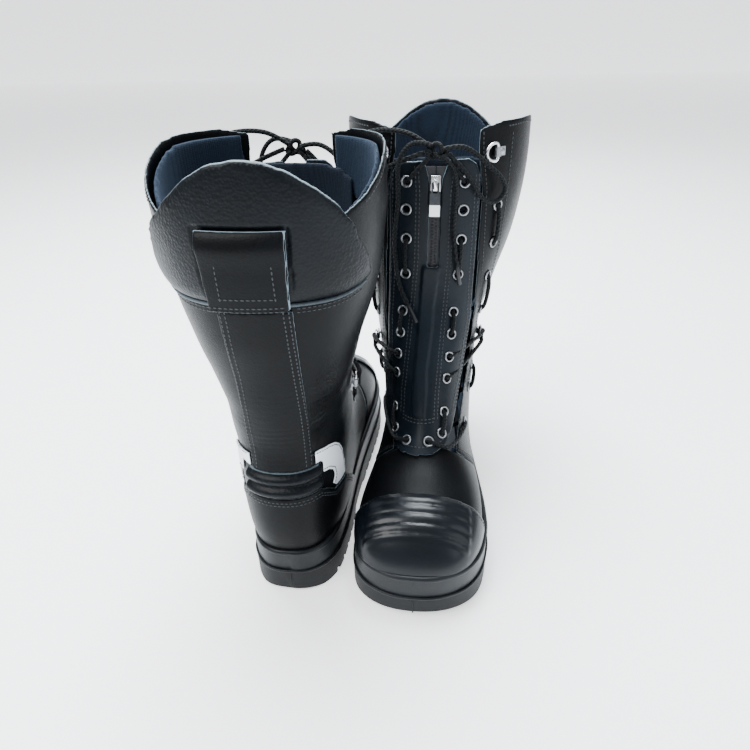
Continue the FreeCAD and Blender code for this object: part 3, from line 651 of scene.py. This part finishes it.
def roundTrack(start, stop, beyond, lift, pitch, keep=None):
    # a track round the boot by angle, at the place where beyond(point) falls to zero
    spots = []
    steps = 120
    for number in range(steps + 1):
        angle = math.radians(start + (stop - start) * number / steps)
        low, high = 0.0, lastStation - 1.0
        for _ in range(18):
            middle = (low + high) / 2
            if beyond(skinPoint(middle, angle)) > 0:
                low = middle
            else:
                high = middle
        point = skinPoint(low, angle)
        if keep is None or keep(point):
            normal = skinNormal(low, angle)
            spots.append((point + normal * lift, normal))
    return trackOf(spots, pitch)


def seamHeight(y):
    # the lower edge of the collar rises a little towards the front
    return 258.4 + max(0.0, y - 6) ** 2 * 0.0075


stitch = {"pitch": 3.3, "finePitch": 2.6, "length": 1.2, "radius": 0.48}

# how far each layer's stitches lie above the boot's surface, in mm
sewn = {"leather": 0.05, "patch": 1.5, "overlay": 2.35, "insert": 2.85, "loop": 10.75}

stitchShape = bmesh.new()
bmesh.ops.create_uvsphere(stitchShape, u_segments=6, v_segments=4, radius=1,
                          matrix=Matrix.Rotation(math.pi / 2, 4, "Y"))
oneStitch = bpy.data.meshes.new("oneStitch")
stitchShape.to_mesh(oneStitch)
stitchShape.free()


def sewTrack(shape, track):
    # one stitch at each point of a track, on leather that waves with the boot
    size = Matrix.Diagonal((stitch["length"], stitch["radius"], stitch["radius"] * 0.8, 1))
    for point, normal, run in track:
        place, angle, _ = skinFacts[nearest.find(point)[1]]
        point = point + normal * softness(place, angle, point)
        side = normal.cross(run).normalized()
        turn = Matrix((run, side, normal)).transposed().to_4x4()
        grain = oneStitch.copy()
        grain.transform(Matrix.Translation(point) @ turn @ size)
        shape.from_mesh(grain)
        bpy.data.meshes.remove(grain)


def intoFrame(shape, boot):
    # from the boot's own frame in mm to the shared frame in metres
    bmesh.ops.transform(shape, matrix=boot["matrix"] @ Matrix.Scale(mm, 4), verts=shape.verts)
    if boot["mirror"] < 0:
        bmesh.ops.reverse_faces(shape, faces=shape.faces)
    return shape


def shaftRows(side, pitch):
    # the facings beside the insert, the tops of the flaps and the seam over the vamp
    facing = [(34, 331), (35, 318), (39.6, 291), (41, 250), (42.4, 184), (41, 140), (37.4, 106)]
    behind = [(57, 329), (57, 288), (55, 240), (49, 196)]
    flap = [(27, 312.2), (38, 317.6), (58, 326.6), (78, 333), (100, 335.6), (121, 334.8)]
    vampSeam = [(168.5, 45), (182, 58.5), (194, 76), (203, 94)]
    rows = [walk(onFront, [(side * x, z) for x, z in line], sewn["leather"], pitch)
            for line in (facing, behind)]
    rows.append(walk(onSide, flap, sewn["leather"], pitch, side))
    for back in (0.0, 2.6):
        line = [(y - back, z) for y, z in vampSeam]
        rows.append(walk(onSide, line, sewn["leather"], pitch, side))
    return rows


def patchRows(side):
    outer = [(17, 129.4), (31, 126.4), (39, 122.4), (44.6, 117.4), (48.4, 110), (50.2, 99),
             (51, 87)]
    inner = [(23.4, 111.2), (28.4, 109.8), (34.4, 104), (35.4, 97), (32, 91.4)]
    return [walk(onSide, line, sewn["patch"], stitch["finePitch"], side)
            for line in (outer, inner)]


def insertRowsSewn(side, pitch):
    # two rows beside the zip and two along the insert's outer edge
    rows = []
    for x in (11.6, 14.2):
        line = [(side * (x + 1.5), 308), (side * x, 290), (side * x, 236),
                (side * x - 2.6, 190), (side * x - 6, 130), (side * x - 6, 112)]
        rows.append(walk(onFront, line, sewn["insert"], pitch))
    for x in (3.0, 5.6):
        line = [(side * (35 - x), 302), (side * (35 - x), 250), (side * (35.5 - x) - 1, 184),
                (side * (32.3 - x) - 2.7, 140), (side * (30 - x) - 5, 112)]
        rows.append(walk(onFront, line, sewn["insert"], pitch))
    return rows


def counterRows(pitch):
    sideLine = [(16.5, 93.4), (20, 90.4), (29.4, 82.8), (41, 81), (50.6, 79), (61, 70), (77, 55)]
    rows = []
    for drop in (0.0, 2.6):
        rows.append(roundTrack(115, 245, lambda point: point.z - 93.6 + drop, sewn["overlay"],
                               pitch, lambda point: point.y < 15))
        for side in (1, -1):
            line = [(y, z - drop) for y, z in sideLine]
            rows.append(walk(onSide, line, sewn["overlay"], pitch, side))
    return rows


def loopRows(pitch):
    # the pull loop, on top of the collar's padding
    left, right, boxTop = -13.5, 15.5, 268.0
    rows = [walk(onBack, [(x, boxTop), (x, 295)], sewn["loop"], pitch) for x in (left, right)]
    for z in (260.0, 262.4):
        rows.append(walk(onBack, [(-20, z), (20, z)], sewn["loop"], pitch))
    rows.append(walk(onBack, [(left, boxTop), (right, boxTop)], sewn["loop"], pitch))
    return rows


def stitching(bootName):
    boot = boots[bootName]
    shape = bmesh.new()
    pitch = stitch["pitch"]
    rows = counterRows(pitch) + loopRows(pitch)
    for side in (1, -1):
        for x in (20.6, 17.4):
            line = [(side * x, 254), (side * x, 122)]
            rows.append(walk(onBack, line, sewn["overlay"], pitch))
        rows += shaftRows(side, pitch) + patchRows(side) + insertRowsSewn(side, pitch)
    for drop in (0.0, 2.4):
        line = [(-17.6, 111 - drop), (5.6, 114 - drop)]
        rows.append(walk(onFront, line, sewn["insert"], pitch))
    insertFoot = [(-29, 95.6), (-20, 93.6), (8, 96.6), (18, 100)]
    rows.append(walk(onFront, insertFoot, sewn["insert"], pitch))
    for drop in (3.4, 6.0):
        rows.append(roundTrack(70, 290, lambda point: point.z - seamHeight(point.y) + drop,
                               sewn["leather"], pitch,
                               lambda point: point.y < 30 and abs(point.x) > 24.5))
    rows.append(roundTrack(-80, 80, lambda point: 254.0 - point.y, sewn["overlay"], pitch,
                           lambda point: point.z > 46))
    for row in rows:
        sewTrack(shape, row)
    return makePiece(bootName + "_stitching", intoFrame(shape, boot), "thread", boot["body"])


# ---------- eyelets, each a lathe-turned ring with a rolled lip

insertHoles = [(21.5, 298), (21.5, 277), (21, 254), (20.5, 225), (20, 193), (20, 175),
               (20, 157.5), (19.5, 141), (19, 114), (18, 100), (8.5, 98)]
shaftHoles = [(49.5, 277), (49, 246), (48, 215), (46.5, 178), (43, 125), (41, 108), (38, 88)]
instep = {"top": 120, "lean": 0.15}


def insertMiddle(z):
    return -6.0 * min(1.0, max(0.0, (235 - z) / 105))


def rowHeight(aside, z):
    # low on the instep, each row lies square to the insert, so its ends differ in height
    return z + aside * instep["lean"] if z < instep["top"] else z


insertSeats = {}
shaftSeats = {}
for side in (1, -1):
    insertSeats[side] = [onFront(insertMiddle(z) + side * x, rowHeight(side * x, z))
                         for x, z in insertHoles]
    shaftSeats[side] = [onFront(insertMiddle(z) / 2 + side * x, z) for x, z in shaftHoles]


def eyeletSet(bootName):
    boot = boots[bootName]
    eyelet = {"hole": 3.1, "rim": 4.7, "turns": 20, "onInsert": 2.8}
    hole, rim = eyelet["hole"], eyelet["rim"]
    profile = [(hole, -3.0), (hole, 0.5), (hole + 0.35, 1.05), (hole + 0.8, 1.25),
               (rim - 0.35, 0.95), (rim, 0.4), (rim - 0.05, 0.05), (hole + 0.4, 0.05),
               (hole + 0.4, -2.6), (rim - 0.4, -2.7), (rim - 0.4, -3.0)]
    one = bmesh.new()
    loop = [one.verts.new((radius, 0, height)) for radius, height in profile]
    edges = [one.edges.new(pair) for pair in zip(loop, loop[1:] + loop[:1])]
    bmesh.ops.spin(one, geom=loop + edges, cent=(0, 0, 0), axis=(0, 0, 1), angle=2 * math.pi,
                   steps=eyelet["turns"], use_merge=True)
    bmesh.ops.remove_doubles(one, verts=one.verts, dist=1e-4)
    bmesh.ops.recalc_face_normals(one, faces=one.faces)
    ring = bpy.data.meshes.new("eyeletRing")
    one.to_mesh(ring)
    one.free()
    shape = bmesh.new()
    seats = []
    for side in (1, -1):
        seats += [(point, normal, eyelet["onInsert"]) for point, normal in insertSeats[side]]
        seats += [(point, normal, 0.0) for point, normal in shaftSeats[side]]
    for point, normal, face in seats:
        known = len(shape.verts)
        shape.from_mesh(ring)
        shape.verts.ensure_lookup_table()
        turn = normal.to_track_quat("Z", "Y").to_matrix().to_4x4()
        bmesh.ops.transform(shape, matrix=Matrix.Translation(point + normal * face) @ turn,
                            verts=shape.verts[known:])
    node = bootName + "_eyelets"
    piece = makePiece(node + "_turned", intoFrame(shape, boot), "gunmetal", boot["body"])
    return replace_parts(piece, node)


# ---------- cords

lace = {"radius": 1.8, "outside": 5.4, "inside": -5.0, "braid": 3.4,
        "lacedLength": 0.88, "knotLength": 0.12}


def cordPiece(name, route, radius, finish, body):
    curve = bpy.data.curves.new(name, "CURVE")
    curve.dimensions = "3D"
    spline = curve.splines.new("NURBS")
    spline.points.add(len(route) - 1)
    for target, point in zip(spline.points, route):
        target.co = point.to_4d()
    spline.order_u = 3
    spline.use_endpoint_u = True
    spline.resolution_u = 10
    curve.bevel_depth = radius
    curve.bevel_resolution = 3
    curve.use_fill_caps = True
    curve.materials.append(finish)
    piece = bpy.data.objects.new(name, curve)
    bpy.context.scene.collection.objects.link(piece)
    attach(piece, body)
    return piece


def ringFrame(x, z, side):
    point, normal = onFront(x, z)
    fall = Vector((0, 0, -1))
    fall = (fall - normal * fall.dot(normal)).normalized()
    inward = fall.cross(normal)
    if inward.x * side > 0:
        inward = -inward
    turn = Matrix((inward, normal.cross(inward), normal)).transposed().to_4x4()
    return Matrix.Translation(point) @ turn


ankleFrames = {1: ringFrame(43.5, 148, 1), -1: ringFrame(-47, 148, -1)}


def seatPoint(seat, lift):
    return seat[0] + seat[1] * lift


def lacedSide(side):
    # one side's route, from behind the bottom of the insert up to the knot
    holes, edge = insertSeats[side], shaftSeats[side]
    outside, inside = lace["outside"], lace["inside"]
    ring = [ankleFrames[side] @ Vector((x, side * y, lift))
            for x, y, lift in ((12.5, -5, 7.2), (4.4, -5, 6.2), (4.4, 5, 6.2), (12.5, 5, 7.2))]
    diagonal, normal = onFront(side * 23 - 3, 90)
    middle, middleNormal = onFront(-6, 97)
    knot, knotNormal = onFront(side * 3, 319)
    route = [
        middle + middleNormal * inside,
        seatPoint(holes[10], inside),
        seatPoint(holes[10], outside),
        diagonal + normal * outside,
        seatPoint(edge[6], outside - 2),
        seatPoint(edge[6], inside),
        seatPoint(holes[9], inside),
        seatPoint(holes[9], outside),
        seatPoint(holes[8], outside),
        seatPoint(holes[8], inside),
        seatPoint(edge[5], inside),
        seatPoint(edge[5], outside - 2),
        seatPoint(edge[4], outside - 2),
        seatPoint(edge[4], inside),
        seatPoint(holes[7], inside),
        seatPoint(holes[7], outside + 2),
    ]
    route += ring
    route += [
        seatPoint(holes[6], outside + 2),
        seatPoint(holes[6], inside),
        seatPoint(holes[5], inside),
        seatPoint(holes[5], outside),
        seatPoint(holes[4], outside),
        seatPoint(holes[4], inside),
        seatPoint(edge[3], inside),
        seatPoint(edge[3], outside - 2),
        seatPoint(edge[2], outside - 2),
        seatPoint(edge[2], inside),
        seatPoint(holes[3], inside),
        seatPoint(holes[3], outside),
        seatPoint(holes[2], outside),
        seatPoint(holes[2], inside),
        seatPoint(edge[1], inside),
        seatPoint(edge[1], outside - 2),
        seatPoint(edge[0], outside - 2),
        seatPoint(edge[0], inside),
        seatPoint(holes[0], inside),
        seatPoint(holes[0], outside),
        knot + knotNormal * (outside + 2.5),
    ]
    return route


# Each strand of the bow as X, height and lift from the leather, with its length in metres.
bow = {
    "loop_outer": {"length": 0.1359, "end": "knot", "points": [
        (4, 322, 9), (14, 325, 9), (24, 321, 9.5), (34, 311, 9), (45, 301, 8.5), (50, 289.5, 8),
        (42, 280.5, 8), (31, 287, 8), (25, 299, 8), (17, 310, 8.5), (8, 319, 9)]},
    "loop_inner": {"length": 0.153, "end": "knot", "points": [
        (-4, 323, 9), (-14, 331, 8.5), (-27, 334.5, 8), (-41, 334, 8), (-54, 329, 8.5),
        (-60.5, 320, 8.5), (-58, 309.5, 8.5), (-47, 304.5, 8.5), (-34, 308, 9), (-21, 315, 9.5),
        (-8, 320, 9.5)]},
    "end_inner": {"length": 0.1494, "end": "fitting", "points": [
        (-3, 325, 12), (-11, 328, 13), (-19, 325, 13.5), (-25, 314, 12.5), (-26, 300, 9.5),
        (-26, 285, 7), (-28, 268, 6.2), (-29, 249, 6.2), (-27, 230, 6.4), (-24, 213, 6.8),
        (-17, 199, 7.2)]},
    "end_outer": {"length": 0.0908, "end": "fitting", "points": [
        (3, 318, 12), (10, 313, 12), (14, 302, 9), (15, 287, 6.6), (14, 270, 6.2), (15, 252, 6.2),
        (18, 233, 6.4)]},
}


def toShared(boot, points):
    return [boot["matrix"] @ (Vector(point) * mm) for point in points]


def knotRoute():
    # a small overhand knot, as a trefoil with its two ends open
    knot = {"wide": 2.5, "tall": 1.9, "deep": 2.0, "points": 28}
    centre, normal = onFront(0, 320.5, 10.0)
    across = Vector((1, 0, 0))
    rise = across.cross(normal) * -1
    points = []
    for number in range(knot["points"]):
        t = math.radians(20 + number * 320 / (knot["points"] - 1))
        wide = (math.sin(t) + 2 * math.sin(2 * t)) * knot["wide"]
        tall = (math.cos(t) - 2 * math.cos(2 * t)) * knot["tall"]
        sunk = math.sin(3 * t) * knot["deep"]
        points.append(centre + across * wide + rise * tall - normal * sunk)
    return points


def laces(bootName):
    boot = boots[bootName]
    radius = lace["radius"] * mm
    node = bootName + "_lace"
    for side, word in ((1, "outer"), (-1, "inner")):
        piece = cordPiece("%s_%s" % (node, word), toShared(boot, lacedSide(side)), radius,
                          braid(lace["lacedLength"]), boot["body"])
        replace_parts(piece, node)
    knot = cordPiece(node + "_knot", toShared(boot, knotRoute()), radius,
                     braid(lace["knotLength"]), boot["body"])
    for word, strand in bow.items():
        points = [onFront(x, z, lift)[0] for x, z, lift in strand["points"]]
        route = toShared(boot, points)
        piece = cordPiece("%s_%s" % (node, word), route, radius, braid(strand["length"]),
                          boot["body"])
        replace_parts(piece, bootName + "_lace_bow")
        carried = [knot] if word == "loop_outer" else []
        if strand["end"] == "fitting":
            carried.append(laceTip("%s_%s_tip" % (node, word), route, boot))


def laceTip(name, route, boot):
    # a plastic sheath crimped on the end of the lace
    tip = {"length": 16 * mm, "radius": 1.75 * mm}
    shape = bmesh.new()
    bmesh.ops.create_cone(shape, cap_ends=True, segments=20, radius1=tip["radius"],
                          radius2=tip["radius"], depth=tip["length"])
    rims = [edge for edge in shape.edges if len({round(vert.co.z, 6) for vert in edge.verts}) == 1]
    bmesh.ops.bevel(shape, geom=rims, offset=0.5 * mm, offset_type="OFFSET", segments=3,
                    profile=0.5, affect="EDGES", material=-1)
    run = (route[-1] - route[-2]).normalized()
    turn = run.to_track_quat("Z", "Y").to_matrix().to_4x4()
    place = Matrix.Translation(route[-1] + run * tip["length"] / 2) @ turn
    bmesh.ops.transform(shape, matrix=place, verts=shape.verts)
    return makePiece(name, shape, "tip", boot["body"])


braids = {}


def braid(length):
    if length not in braids:
        turns = length / (lace["braid"] * mm)
        braids[length] = cordFinish("braidedLace%d" % round(length * 1000), (0.006, 0.0078, 0.0095),
                                    2 * math.pi * 3, 2 * math.pi * turns)
    return braids[length]


# ---------- trims that the CAD leaves plain

soleEdge = [(0, -2.5), (19, 1.5), (33, 16), (39.5, 40), (42, 68), (43.5, 102), (46.5, 140),
            (51.5, 182), (55.5, 222), (54.5, 254), (43, 285), (23, 300), (-4, 305), (-31, 300),
            (-49, 285), (-56.5, 254), (-53.5, 222), (-47, 182), (-42.5, 140), (-41, 102),
            (-40.5, 68), (-38, 40), (-32, 16), (-19, 1.5)]


def beadPiece(name, points, radius, finish, body, closed=False):
    curve = bpy.data.curves.new(name, "CURVE")
    curve.dimensions = "3D"
    spline = curve.splines.new("BEZIER")
    spline.bezier_points.add(len(points) - 1)
    for target, point in zip(spline.bezier_points, points):
        target.co = point
        target.handle_left_type = "AUTO"
        target.handle_right_type = "AUTO"
    spline.use_cyclic_u = closed
    spline.resolution_u = 10
    curve.bevel_depth = radius
    curve.bevel_resolution = 3
    curve.use_fill_caps = True
    curve.materials.append(finishes[finish])
    piece = bpy.data.objects.new(name, curve)
    bpy.context.scene.collection.objects.link(piece)
    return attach(piece, body)


def soleTrims(bootName):
    boot = boots[bootName]
    for word, inset, height, radius in (("rim", 3.7, 41.0, 2.6), ("line", 0.7, 22.4, 1.2)):
        points = []
        for number, (x, y) in enumerate(soleEdge):
            before, after = soleEdge[number - 1], soleEdge[(number + 1) % len(soleEdge)]
            run = Vector((after[0] - before[0], after[1] - before[1], 0)).normalized()
            points.append((x - run.y * inset, y + run.x * inset, height))
        beadPiece("%s_sole_%s" % (bootName, word), toShared(boot, points), radius * mm, "midsole",
                  boot["body"], closed=True)
    for word, x, y in (("heel", 0, -2.0), ("toe", -4, 304.6)):
        inwards = 1.2 if word == "heel" else -1.2
        points = [(x, y, 6), (x, y, 21), (x, y + inwards, 24), (x, y + inwards, 39)]
        beadPiece("%s_mould_seam_%s" % (bootName, word), toShared(boot, points), 0.6 * mm, "sole",
                  boot["body"])


def collarPiping(bootName):
    boot = boots[bootName]
    track = roundTrack(70, 290, lambda point: point.z - seamHeight(point.y), 1.0, 5.0,
                       lambda point: point.y < 32)
    points = []
    for point, normal, _ in track:
        place, angle, _ = skinFacts[nearest.find(point)[1]]
        points.append(point + normal * softness(place, angle, point))
    return beadPiece(bootName + "_collar_piping", toShared(boot, points), 1.2 * mm, "piping",
                     boot["body"])


# ---------- crowns of the padded parts, in mm


def collarPuff(point, place, angle):
    rise = point.z - seamHeight(point.y)
    tuck = min(rise / 12, 1.0)
    behindLoop = abs(point.x) < 27 and point.y < 20 and point.z < 308
    crown = math.sin(math.pi * clamped(rise / 78))
    return -2.3 * (1 - tuck) ** 2 + (0.0 if behindLoop else 2.2 * crown)


def loopPuff(point, place, angle):
    # the fold at the top of the strap is a round roll
    lift = (point - skinPoint(place, angle)).dot(skinNormal(place, angle))
    share = clamped(1 - (306 - point.z) / 11)
    outer = clamped((lift - 5) / 5)
    swell = math.exp(-((296 - point.z) / 8) ** 2) * outer * 1.4
    return (lift - 6.2) * (math.sqrt(1 - share ** 2) - 1) + swell


def rollPuff(point, place, angle):
    middle = 103.3 if point.z < 108.65 else 114.0
    return 1.5 - 3.6 * (abs(point.z - middle) / 5.0) ** 2


print("helpers ready")

soft = {
    # part: finish, voxel in mm, smoothing rounds, crown
    "quarter_lateral": ("leather", 1.25, 5, None),
    "quarter_medial": ("leather", 1.25, 5, None),
    "vamp": ("leather", 1.3, 4, None),
    "heel_counter": ("leather", 1.2, 3, None),
    "back_stay": ("strap", 1.1, 3, None),
    "pull_loop": ("strap", 1.0, 4, loopPuff),
    "zip_insert": ("insert", 1.0, 2, None),
    "toe_guard": ("toe", 0.9, 12, None),
    "collar": ("padding", 1.7, 6, collarPuff),
    "ankle_pads": ("padding", 1.0, 8, rollPuff),
    "lining": ("lining", 2.2, 6, None),
    "tongue": ("tongue", 2.0, 4, None),
    "reflective_patches": ("patch", 0.7, 2, None),
}
hard = {
    # part: finish, bevel in mm
    "outsole": ("sole", 0.7),
    "midsole": ("midsole", 0.9),
    "puncture_plate": ("steel", 0.0),
    "insole_board": ("board", 0.0),
    "counter_stiffener": ("board", 0.0),
    "toe_cap": ("steel", 0.0),
    "footbed": ("footbed", 1.0),
    "zip_chain": ("tape", 0.12),
    "zip_slider": ("nickel", 0.35),
    "ring_clips": ("gunmetal", 0.25),
    "top_ring_lateral": ("nickel", 0.0),
    "top_ring_medial": ("nickel", 0.0),
    "ankle_rings": ("nickel", 0.0),
}
for bootName in boots:
    for part, (finish, voxel, rounds, puff) in soft.items():
        piece = dressed(bootName, part, finish, voxel * mm, rounds, puff,
                        wavy=part != "toe_guard")
        print(piece.name, len(piece.data.polygons), "faces")
    for part, (finish, width) in hard.items():
        bevelled(bootName + "_" + part, finish, width * mm)
    zipPull(bootName + "_zip_pull")
    stitching(bootName)
    eyeletSet(bootName)
    laces(bootName)
    soleTrims(bootName)
    collarPiping(bootName)
    print(bootName, "boot done")

# ---------- floor and light

floorShape = bmesh.new()
room = {"half": 6, "wall": 4}
bmesh.ops.create_grid(floorShape, x_segments=1, y_segments=1, size=room["half"])
backEdge = [edge for edge in floorShape.edges
            if all(vert.co.y > 0.98 * room["half"] for vert in edge.verts)]
wall = bmesh.ops.extrude_edge_only(floorShape, edges=backEdge)["geom"]
wallTop = [item for item in wall if isinstance(item, bmesh.types.BMVert)]
bmesh.ops.translate(floorShape, verts=wallTop, vec=(0, 0, room["wall"]))
floorMesh = bpy.data.meshes.new("floor")
floorShape.to_mesh(floorMesh)
floorShape.free()
floor = bpy.data.objects.new("floor", floorMesh)
bpy.context.scene.collection.objects.link(floor)
paper = Finish("palePaper", Roughness=0.7, Specular_IOR_Level=0.1, Emission_Strength=1.0,
               Emission_Color=(0.97, 0.985, 1.0))
floorMesh.materials.append(paper.shade(
    Base_Color=paper.mix(paper.cloud(3.0), (0.86, 0.87, 0.88), (0.9, 0.905, 0.91))))

world = bpy.data.worlds.new("studio")
world.use_nodes = True
world.node_tree.nodes["Background"].inputs["Color"].default_value = (0.93, 0.96, 1.0, 1)
world.node_tree.nodes["Background"].inputs["Strength"].default_value = 0.6
bpy.context.scene.world = world

lamps = {
    "top": {"at": (-0.15, 0.3, 1.5), "size": 0.8, "power": 70, "colour": (0.9, 0.96, 1.0)},
    "key": {"at": (-0.9, -0.7, 1.5), "size": 1.0, "power": 34, "colour": (1.0, 0.99, 0.97)},
    "fill": {"at": (1.2, -0.9, 0.9), "size": 1.2, "power": 9, "colour": (0.92, 0.96, 1.0)},
    "rim": {"at": (0.1, 1.3, 1.3), "size": 1.4, "power": 16, "colour": (0.95, 0.98, 1.0)},
}
bootMiddle = Vector((0, 0, 0.16))
for lampName, facts in lamps.items():
    lampData = bpy.data.lights.new(lampName, "AREA")
    lampData.size = facts["size"]
    lampData.energy = facts["power"]
    lampData.color = facts["colour"]
    lamp = bpy.data.objects.new(lampName, lampData)
    bpy.context.scene.collection.objects.link(lamp)
    aim = bootMiddle - Vector(facts["at"])
    turn = aim.to_track_quat("-Z", "Y").to_matrix().to_4x4()
    lamp.matrix_world = Matrix.Translation(facts["at"]) @ turn
print("stage set")
